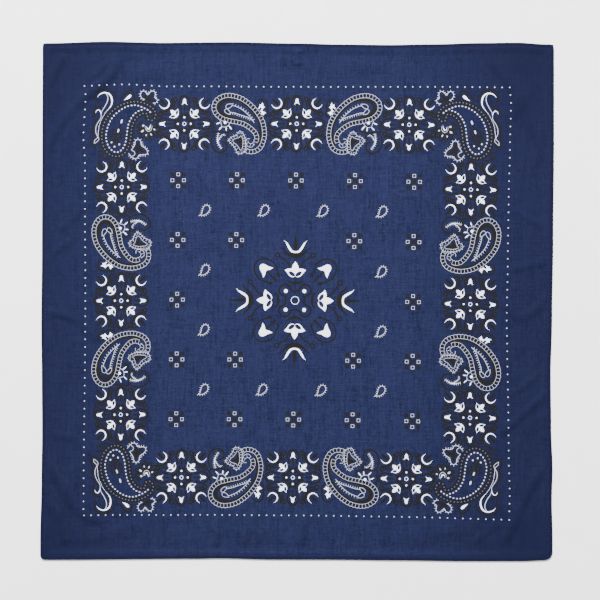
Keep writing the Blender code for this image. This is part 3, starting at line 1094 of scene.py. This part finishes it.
def rim_normal(row, column):
    """The direction out of the upper face, from the neighbouring points of the rim."""
    along = rim[row][(column + 1) % columns] - rim[row][column - 1]
    across = rim[min(row + 1, len(rim) - 1)][column] - rim[max(row - 1, 0)][column]
    return along.cross(across).normalized()


def face_normal(x, y):
    """The direction out of the upper face within the rim."""
    slope_x = face_height(x + 0.5, y) - face_height(x - 0.5, y)
    slope_y = face_height(x, y + 0.5) - face_height(x, y - 0.5)
    return Vector((-slope_x, -slope_y, 1.0)).normalized()


def loose_points():
    """The points in rows round the margin, in a grid over the field, and along each fold."""
    points = []
    for ring_row in range(1, MARGIN_ROWS + 1):
        inset = HEM_STEP_END + ring_row * MARGIN_PITCH
        points += [Vector(lay_edge(x, y)) for x, y in ring_places(inset, columns_x, columns_y)]
    cells = round(2.0 * (HALF_WIDTH - inset) / GRID_PITCH)
    for cell_x in range(1, cells):
        for cell_y in range(1, cells):
            x = (HALF_WIDTH - inset) * (2.0 * cell_x / cells - 1.0)
            y = (HALF_LENGTH - inset) * (2.0 * cell_y / cells - 1.0)
            points.append(Vector(lay_edge(x, y)))
    for low_x, high_x, low_y, high_y, path, half_width, top in folds:
        for row in FOLD_ROWS:
            for (x, y), (next_x, next_y) in zip(path, path[1:]):
                run = math.dist((x, y), (next_x, next_y))
                side_x = (y - next_y) / run * half_width * row
                side_y = (next_x - x) / run * half_width * row
                past = max(abs(x + side_x) - HALF_WIDTH, abs(y + side_y) - HALF_LENGTH)
                if past < -HEM_STEP_END - FOLD_CLEAR:
                    points.append(Vector((x + side_x, y + side_y)))
    return points


def fill_ring(shapes):
    """Triangles inside the rim's inner row, cut along the outlines of the printed shapes.

    Gives the points, the triangles, each triangle's ink, and the points of the inner row. Every
    outline goes in anticlockwise. Where shapes overlap, the last one printed shows.
    """
    found = {}
    points = []
    outlines = []
    for outline in [[(p.x, p.y) for p in rim[-1]]] + [outline for ink, outline in shapes]:
        corners = []
        for x, y in outline if twice_area(outline) >= 0.0 else reversed(outline):
            key = (round(x, 3), round(y, 3))
            if key not in found:
                found[key] = len(points)
                points.append(Vector((x, y)))
            if found[key] not in corners:
                corners.append(found[key])
        outlines.append(corners)
    points += loose_points()
    made = geometry.delaunay_2d_cdt(points, [], outlines, INSIDE_OUTLINES, SAME_PLACE)
    made_points, made_faces, sources, face_sources = made[0], made[2], made[3], made[5]
    inks = [BARE] + [ink for ink, outline in shapes]
    face_inks = [inks[max(over)] if over else BARE for over in face_sources]
    inner_row = [0] * columns
    for place, from_points in enumerate(sources):
        for source in from_points:
            if source < columns:
                inner_row[source] = place
    return made_points, made_faces, face_inks, inner_row


def add_layer(shapes, drop, rim_kept):
    """One face of the cloth, as its points, normals, faces, inks and rows of the rim."""
    flat, faces, inks, inner_row = fill_ring(shapes)
    faces = [list(face) for face in faces]
    normals = [face_normal(p.x, p.y) for p in flat]
    points = [Vector((p.x, p.y, face_height(p.x, p.y))) for p in flat]
    rows = []
    for row in rim_kept[:-1]:
        rows.append(range(len(points), len(points) + columns))
        normals += [rim_normal(row, column) for column in range(columns)]
        points += rim[row]
    rows.append(inner_row)
    for outer, inner in zip(rows, rows[1:]):
        for column in range(columns):
            after = (column + 1) % columns
            faces.append([outer[column], outer[after], inner[after], inner[column]])
            inks.append(BARE)
    points = [point - normal * drop for point, normal in zip(points, normals)]
    return points, normals, faces, inks, rows


printed = [(ink, [lay_print(u, v) for u, v in outline]) for ink, outline in whole_print]
upper_points, upper_normals, upper_faces, upper_inks, upper_rows = add_layer(
    printed, 0.0, range(len(rim))
)
lower_points, lower_normals, lower_faces, lower_inks, lower_rows = add_layer(
    [], CLOTH, [row for row in range(len(rim)) if row not in BACK_SKIPS]
)
lower_start = len(upper_points)
panel_faces = list(upper_faces)
panel_faces += [[lower_start + corner for corner in reversed(face)] for face in lower_faces]
panel_inks = upper_inks + lower_inks
for column in range(columns):
    after = (column + 1) % columns
    end = [upper_rows[0][after], upper_rows[0][column]]
    end += [lower_start + lower_rows[0][column], lower_start + lower_rows[0][after]]
    panel_faces.append(end)
    panel_inks.append(BARE)
panel_normals = upper_normals + [-normal for normal in lower_normals]


def new_piece(name, points, faces):
    """A new object from points in millimetres, with the middle of the cloth at its origin."""
    mesh = bpy.data.meshes.new(name)
    places = [((x - middle_x) * MM, (y - middle_y) * MM, z * MM) for x, y, z in points]
    mesh.from_pydata(places, [], faces)
    piece = bpy.data.objects.new(name, mesh)
    bpy.context.scene.collection.objects.link(piece)
    return piece


cotton_panel = new_piece("cotton_panel", upper_points + lower_points, panel_faces)
panel_mesh = cotton_panel.data

# How strongly each ink shows. A fine white line is only partly white.
INK_STRENGTHS = (
    ("white_ink", {WHITE: 1.0, FINE: 0.47}),
    ("black_ink", {BLACK: 1.0}),
    ("pale_ink", {PALE: 1.0}),
)
for name, strengths in INK_STRENGTHS:
    printed_with = panel_mesh.attributes.new(name, "FLOAT", "FACE")
    printed_with.data.foreach_set("value", [strengths.get(ink, 0.0) for ink in panel_inks])

# Painted shade: the blue is made deeper on folded cloth where shade falls. In the rim this goes row
# by row from its tucked end, for the shade of the rolled edge and its contact shadow. On the narrow
# folds it goes by their height, for the shade in them.
RIM_PAINTED_SHADE = (1.0,) * 9 + (0.9, 0.55, 0.35, 0.35, 0.3, 0.2, 0.1)
FOLD_PAINTED_SHADE = 0.34
FOLD_MARGIN = 9.0
painted_shade_values = [0.0] * len(panel_mesh.vertices)
for start, rows in ((0, upper_rows), (lower_start, lower_rows)):
    for row, rim_shade in zip(rows, RIM_PAINTED_SHADE):
        for point in row:
            painted_shade_values[start + point] = rim_shade
for place, p in enumerate(upper_points):
    if abs(p.x) < HALF_WIDTH - FOLD_MARGIN and abs(p.y) < HALF_LENGTH - FOLD_MARGIN:
        painted_shade_values[place] = FOLD_PAINTED_SHADE * min(fold_height(p.x, p.y), 1.0)
painted_fold_shade = panel_mesh.attributes.new("fold", "FLOAT", "POINT")
painted_fold_shade.data.foreach_set("value", painted_shade_values)

# The flat map of the cloth for its finish: the face takes nearly all of it, and the back a strip.
# The cloth's cut end, which joins them, is given a little width of its own.
MAP_SIZE = 592.0
FACE_MIDDLE = 0.474
BACK_MIDDLE = 0.972
BACK_SQUEEZE = 0.04
END_WIDTH = 1.5
flat_places = []
for points, rows in ((upper_points, upper_rows), (lower_points, lower_rows)):
    unrolled = [(p.x, p.y) for p in points]
    for column in range(columns):
        x, y = unrolled[rows[ROLL_ROWS][column]]
        next_x, next_y = unrolled[rows[ROLL_ROWS + 1][column]]
        run = math.dist((x, y), (next_x, next_y))
        for row in range(ROLL_ROWS):
            out = ROLL * math.radians(ROLL_TURN) * min(ROLL_ROWS - row, ROLL_ROWS - 1)
            if row == 0:
                out += TUCK - ROLL
            unrolled[rows[row][column]] = (x + (x - next_x) / run * out, y + (y - next_y) / run * out)
    flat_places += unrolled
flat_map = panel_mesh.uv_layers.new(name="OFBake")
for face in panel_mesh.polygons:
    on_back = [corner >= lower_start for corner in face.vertices]
    over_end = any(on_back) and not all(on_back)
    for loop in face.loop_indices:
        corner = panel_mesh.loops[loop].vertex_index
        x, y = flat_places[corner]
        middle, squeeze = FACE_MIDDLE, 1.0
        if over_end and corner >= lower_start:
            x *= 1.0 + END_WIDTH / MAP_SIZE
            y *= 1.0 + END_WIDTH / MAP_SIZE
        elif corner >= lower_start:
            middle, squeeze = BACK_MIDDLE, BACK_SQUEEZE
        flat_map.uv[loop].vector = (middle + x / MAP_SIZE * squeeze, 0.5 + y / MAP_SIZE)
panel_mesh.shade_smooth()
panel_mesh.normals_split_custom_set_from_vertices(panel_normals)


class Value:
    """An output of a finish's nodes. Sums and products of outputs add Math nodes."""

    def __init__(self, tree, output=None):
        self.tree = tree
        self.output = output

    def node(self, kind, settings, sockets, output=0):
        """Adds a node: its settings come first, then its sockets' values or links."""
        made = self.tree.nodes.new(kind)
        for name, setting in settings.items():
            setattr(made, name, setting)
        for name, value in sockets.items():
            if isinstance(value, Value):
                self.tree.links.new(value.output, made.inputs[name])
            else:
                made.inputs[name].default_value = value
        return Value(self.tree, made.outputs[output] if made.outputs else None)

    def maths(self, operation, first, second=0.0):
        """The result of a Math node."""
        return self.node("ShaderNodeMath", {"operation": operation}, {0: first, 1: second})

    def __add__(self, other):
        return self.maths("ADD", self, other)

    def __radd__(self, other):
        return self.maths("ADD", other, self)

    def __sub__(self, other):
        return self.maths("SUBTRACT", self, other)

    def __rsub__(self, other):
        return self.maths("SUBTRACT", other, self)

    def __mul__(self, other):
        return self.maths("MULTIPLY", self, other)

    def __rmul__(self, other):
        return self.maths("MULTIPLY", other, self)

    def __abs__(self):
        return self.maths("ABSOLUTE", self)

    def blend(self, first, second):
        """A colour between two others: the first where this value is 0, the second where it is 1."""
        sockets = {"Factor": self, 6: first, 7: second}
        return self.node("ShaderNodeMix", {"data_type": "RGBA"}, sockets, output=2)

    def spread(self, low, high, new_low=0.0, new_high=1.0):
        """The part from low to high, stretched to a new range and kept inside it."""
        sockets = {"From Min": low, "From Max": high, "To Min": new_low, "To Max": new_high}
        return self.node("ShaderNodeMapRange", {"clamp": True}, {"Value": self} | sockets)

    def noise(self, across, along, detail=2.0, roughness=0.5, place=(0.0, 0.0, 0.0)):
        """Smooth unevenness whose patches are about so many millimetres across and along."""
        scale = (1000.0 / across, 1000.0 / along, 1000.0 / across)
        at = self.node("ShaderNodeTexCoord", {}, {}, output="Object")
        at = at.node("ShaderNodeMapping", {}, {"Vector": at, "Location": place, "Scale": scale})
        sockets = {"Vector": at, "Scale": 1.0, "Detail": detail, "Roughness": roughness}
        return at.node("ShaderNodeTexNoise", {}, sockets)

    def painted(self, name):
        """What the mesh says under a name for each of its points or faces."""
        return self.node("ShaderNodeAttribute", {"attribute_name": name}, {}, output="Fac")


def new_finish(name):
    """A new material, and a start in its tree for its nodes."""
    material = bpy.data.materials.new(name)
    material.use_nodes = True
    material.node_tree.nodes.clear()
    return material, Value(material.node_tree)


def end_finish(start, sockets):
    """Closes a finish with its one surface, from the values or links of its sockets."""
    surface = start.node("ShaderNodeBsdfPrincipled", {}, sockets)
    start.node("ShaderNodeOutputMaterial", {}, {"Surface": surface})


WHITE_INK = (0.87, 0.885, 0.94, 1.0)
BLACK_INK = (0.0062, 0.0058, 0.0042, 1.0)
PALE_INK = (0.052, 0.060, 0.145, 1.0)
NAVY_DARK = (0.0014, 0.0028, 0.0185, 1.0)
NAVY_LIGHT = (0.0165, 0.0192, 0.0520, 1.0)
NAVY_FADED = (0.0092, 0.0118, 0.0440, 1.0)
# A deeper navy: the darker blue towards the edges, and also the painted shade on the rolled rim and
# in the narrow folds.
NAVY_DEEP_AND_SHADE = (0.0025, 0.0034, 0.0170, 1.0)
WEAVE_BUMP = 0.35
WEAVE_DEPTH = 0.0004


def cotton_finish(name, printed_face):
    """Plain-weave cotton: slubby threads both ways, faded unevenly by washing."""
    material, start = new_finish(name)
    threads_up = start.noise(1.2, 11.0, detail=2.0, roughness=0.6)
    threads_across = start.noise(11.0, 1.2, detail=2.0, roughness=0.6, place=(7.0, 3.0, 0.0))
    slubs_up = start.noise(2.2, 50.0, detail=1.0, place=(2.0, 9.0, 0.0))
    slubs_across = start.noise(50.0, 2.2, detail=1.0, place=(5.0, 4.0, 0.0))
    fine = start.noise(0.9, 0.9, detail=1.0)
    mottled = start.noise(3.2, 6.0, detail=3.0, roughness=0.65, place=(4.0, 8.0, 0.0))
    weave = 0.26 * threads_up + 0.24 * threads_across + 0.16 * slubs_up + 0.14 * slubs_across
    weave = weave + 0.2 * mottled
    tone = (weave + 0.4 * (fine - 0.5)).spread(0.37, 0.74)
    washed = start.noise(17.0, 22.0, detail=4.0, roughness=0.6).spread(0.34, 0.66)
    colour = (washed * 0.5).blend(tone.blend(NAVY_DARK, NAVY_LIGHT), NAVY_FADED)
    # The blue is deeper towards the edges, most of all at the left and the right.
    at = start.node("ShaderNodeTexCoord", {}, {}, output="Object")
    across = at.node("ShaderNodeSeparateXYZ", {}, {"Vector": at}, output="X")
    along = at.node("ShaderNodeSeparateXYZ", {}, {"Vector": at}, output="Y")
    sides = abs(across + 0.010).spread(0.12, 0.25)
    ends = abs(along + 0.02).spread(0.17, 0.27)
    colour = (sides * 0.58 + ends * 0.26).blend(colour, NAVY_DEEP_AND_SHADE)
    rough = tone.spread(0.0, 1.0, 0.93, 0.84)
    if printed_face:
        # Painted shade: the rolled rim and the narrow folds are darkened by the "fold" attribute,
        # where shade falls on them.
        colour = (start.painted("fold") * 0.9).blend(colour, NAVY_DEEP_AND_SHADE)
        white = start.painted("white_ink")
        black = start.painted("black_ink")
        pale = start.painted("pale_ink")
        worn = (fine * 0.6 + weave * 0.8).spread(0.30, 0.62, 0.78, 1.0)
        colour = (black * worn * 0.97).blend(colour, BLACK_INK)
        colour = (pale * worn).blend(colour, PALE_INK)
        colour = (white * worn.spread(0.7, 1.0, 0.9, 1.0)).blend(colour, WHITE_INK)
        rough = rough - 0.06 * (white + black + pale)
    raised = 0.5 * start.noise(0.62, 7.0, detail=1.0) + 0.5 * start.noise(7.0, 0.62, detail=1.0)
    sockets = {"Strength": WEAVE_BUMP, "Distance": WEAVE_DEPTH, "Height": raised + 0.5 * weave}
    bumped = start.node("ShaderNodeBump", {}, sockets)
    end_finish(
        start,
        {"Base Color": colour, "Roughness": rough, "Normal": bumped, "Specular IOR Level": 0.1},
    )
    return material


panel_mesh.materials.append(cotton_finish("printed_cotton_finish", printed_face=True))
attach(cotton_panel, "root")
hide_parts("panel")


# ---------------------------------------------------------------------------------------------
# The hems. The cloth's own edge is folded in twice under the rim and makes a flat band, two
# layers thick and rounded where it is folded. The top and bottom bands run the full width.

HEM_EDGE = 1.75
HEM_INNER = 6.0
HEM_LOW = 0.06
HEM_HIGH = 0.78
LAYER = 0.36
# Columns: inset, height. The line runs round the band's section, from its outer lower corner.
HEM_SECTION = (
    (HEM_EDGE, HEM_LOW + 0.06),
    (HEM_EDGE + 0.1, HEM_LOW),
    (HEM_INNER - 0.42, HEM_LOW),
    (HEM_INNER - 0.12, HEM_LOW + 0.12),
    (HEM_INNER, (HEM_LOW + HEM_HIGH) / 2.0),
    (HEM_INNER - 0.12, HEM_HIGH - 0.12),
    (HEM_INNER - 0.42, HEM_HIGH),
    (HEM_EDGE + 0.1, HEM_HIGH),
    (HEM_EDGE, HEM_HIGH - 0.06),
    (HEM_EDGE, HEM_LOW + LAYER + 0.02),
    (HEM_EDGE + 0.7, HEM_LOW + LAYER),
    (HEM_EDGE, HEM_LOW + LAYER - 0.02),
)
STATIONS = 130
# Where a band stops short: at the cloth's own edge, or a little before the top or bottom band.
FULL_END = 0.6
SIDE_END = HEM_INNER + 0.35
# Its edges are smooth where they turn by fewer degrees than this.
HEM_SMOOTH = 50.0


def skin(start, rings, size):
    """Faces over rings of points, from the first point's number, and over both of their ends."""
    faces = []
    last = start + (rings - 1) * size
    for near in range(start, last, size):
        for corner in range(size):
            after = (corner + 1) % size
            faces.append([near + corner, near + after, near + size + after, near + size + corner])
    return faces + [list(range(start, start + size)), list(range(last, last + size))]


def turn_outwards(piece):
    """Turns all of a closed piece's faces outwards, and leaves it the one selected."""
    bpy.ops.object.select_all(action="DESELECT")
    bpy.context.view_layer.objects.active = piece
    piece.select_set(True)
    bpy.ops.object.mode_set(mode="EDIT")
    bpy.ops.mesh.select_all(action="SELECT")
    bpy.ops.mesh.normals_make_consistent(inside=False)
    bpy.ops.object.mode_set(mode="OBJECT")


def hem_place(side, share, inset):
    """A point of a hem band, a share of the way along it."""
    if side in ("top", "bottom"):
        x = (HALF_WIDTH - FULL_END) * share
        y = (HALF_LENGTH - inset) * (1 if side == "top" else -1)
    else:
        x = (HALF_WIDTH - inset) * (1 if side == "right" else -1)
        y = (HALF_LENGTH - SIDE_END) * share
    return lay_edge(x, y)


hem_cotton = cotton_finish("hem_cotton_finish", printed_face=False)
for side in ("top", "bottom", "left", "right"):
    points = []
    for station in range(STATIONS + 1):
        share = 2.0 * station / STATIONS - 1.0
        points += [(*hem_place(side, share, inset), height) for inset, height in HEM_SECTION]
    hem = new_piece("hem_band_" + side, points, skin(0, STATIONS + 1, len(HEM_SECTION)))
    turn_outwards(hem)
    bpy.ops.object.shade_smooth_by_angle(angle=math.radians(HEM_SMOOTH))
    hem.data.materials.append(hem_cotton)
    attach(hem, "root")
    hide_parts("hem_" + side)


# ---------------------------------------------------------------------------------------------
# The stitches. One row of lockstitches in navy sewing thread runs all round and holds the hems.
# Each stitch is a short length of thread, drawn down into the cloth at both of its ends.

STITCH_PITCH = 2.8
STITCH_LENGTH = 2.2
FIRST_STITCH = 0.7
THREAD = 0.3
THREAD_CORNERS = 6
# Columns: share of the thread's thickness, height over the cloth, from one end to the other.
STITCH_RINGS = ((0.35, -0.12), (0.9, 0.02), (1.0, 0.06), (0.9, 0.02), (0.35, -0.12))
THREAD_DARK = (0.010, 0.012, 0.040, 1.0)
THREAD_LIGHT = (0.020, 0.024, 0.068, 1.0)
TWIST_SIZE = 0.3

stitch_points = []
stitch_faces = []
for side in range(4):
    level = side % 2 == 0
    full = HALF_WIDTH if level else HALF_LENGTH
    count = int((2.0 * full - 2.0 * STITCH_LINE) / STITCH_PITCH)
    for n in range(count):
        middle = -full + STITCH_LINE + (n + FIRST_STITCH) * STITCH_PITCH
        stitch_faces += skin(len(stitch_points), len(STITCH_RINGS), THREAD_CORNERS)
        for ring_number, (swell, lift) in enumerate(STITCH_RINGS):
            along = middle + STITCH_LENGTH * (ring_number / (len(STITCH_RINGS) - 1) - 0.5)
            x, y = (along, HALF_LENGTH - STITCH_LINE) if level else (HALF_WIDTH - STITCH_LINE, along)
            if side > 1:
                x, y = -x, -y
            x, y = lay_edge(x, y)
            for corner in range(THREAD_CORNERS):
                angle = math.tau * corner / THREAD_CORNERS
                out = THREAD / 2.0 * swell * math.cos(angle)
                z = HEM_TOP - STITCH_DEPTH + lift + THREAD / 2.0 * swell * math.sin(angle)
                stitch_points.append((x, y + out, z) if level else (x + out, y, z))
stitches = new_piece("hem_stitches", stitch_points, stitch_faces)
turn_outwards(stitches)
stitches.data.shade_smooth()
thread_finish, start = new_finish("thread_finish")
twist = start.noise(TWIST_SIZE, TWIST_SIZE, detail=1.0).spread(0.35, 0.65)
thread_colour = twist.blend(THREAD_DARK, THREAD_LIGHT)
end_finish(start, {"Base Color": thread_colour, "Roughness": 0.75, "Specular IOR Level": 0.12})
stitches.data.materials.append(thread_finish)
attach(stitches, "root")


# ---------------------------------------------------------------------------------------------
# The floor, the light and the camera. The cloth lies on a large, nearly white floor, lit from high
# up beyond its top edge and by an even white room, with the camera straight above it.

FLOOR_SIZE = 12.0
FLOOR_DROP = 0.0002
FLOOR_DARK = (0.94, 0.94, 0.94, 1.0)
FLOOR_LIGHT = (0.96, 0.96, 0.96, 1.0)
SPECKLE_SIZE = 40.0
bpy.ops.object.select_all(action="DESELECT")
bpy.ops.mesh.primitive_plane_add(size=FLOOR_SIZE, location=(0.0, 0.0, -FLOOR_DROP))
floor = bpy.context.object
floor.name = "floor"
bpy.ops.object.transform_apply(location=True, rotation=True, scale=True)
floor_finish, start = new_finish("floor_finish")
speckle = start.noise(SPECKLE_SIZE, SPECKLE_SIZE, detail=2.0).spread(0.3, 0.7)
end_finish(start, {"Base Color": speckle.blend(FLOOR_DARK, FLOOR_LIGHT), "Roughness": 0.9})
floor.data.materials.append(floor_finish)

# Columns: name, place, side of the square lamp, power.
LAMPS = (
    ("key", (-0.7, 2.9, 2.4), 1.0, 710.0),
    ("fill", (0.4, -1.6, 2.8), 1.8, 30.0),
)
for name, place, size, power in LAMPS:
    lamp = bpy.data.objects.new(name, bpy.data.lights.new(name, "AREA"))
    lamp.data.shape = "SQUARE"
    lamp.data.size = size
    lamp.data.energy = power
    lamp.location = place
    lamp.rotation_mode = "QUATERNION"
    lamp.rotation_quaternion = (-Vector(place)).to_track_quat("-Z", "Y")
    bpy.context.scene.collection.objects.link(lamp)

ROOM_LIGHT = 0.5
world = bpy.data.worlds.new("studio")
bpy.context.scene.world = world
world.use_nodes = True
world.node_tree.nodes["Background"].inputs["Color"].default_value = (1.0, 1.0, 1.0, 1.0)
world.node_tree.nodes["Background"].inputs["Strength"].default_value = ROOM_LIGHT

CAMERA_HEIGHT = 2.0
CAMERA_RIGHT = 0.0032
CAMERA_UP = 0.0015
FRAME_WIDTH = 0.6452
SENSOR_WIDTH = 36.0
camera = bpy.data.objects.new("camera", bpy.data.cameras.new("camera"))
camera.data.sensor_width = SENSOR_WIDTH
camera.data.lens = SENSOR_WIDTH * CAMERA_HEIGHT / FRAME_WIDTH
camera.location = (CAMERA_RIGHT, CAMERA_UP, CAMERA_HEIGHT)
bpy.context.scene.collection.objects.link(camera)
bpy.context.scene.camera = camera
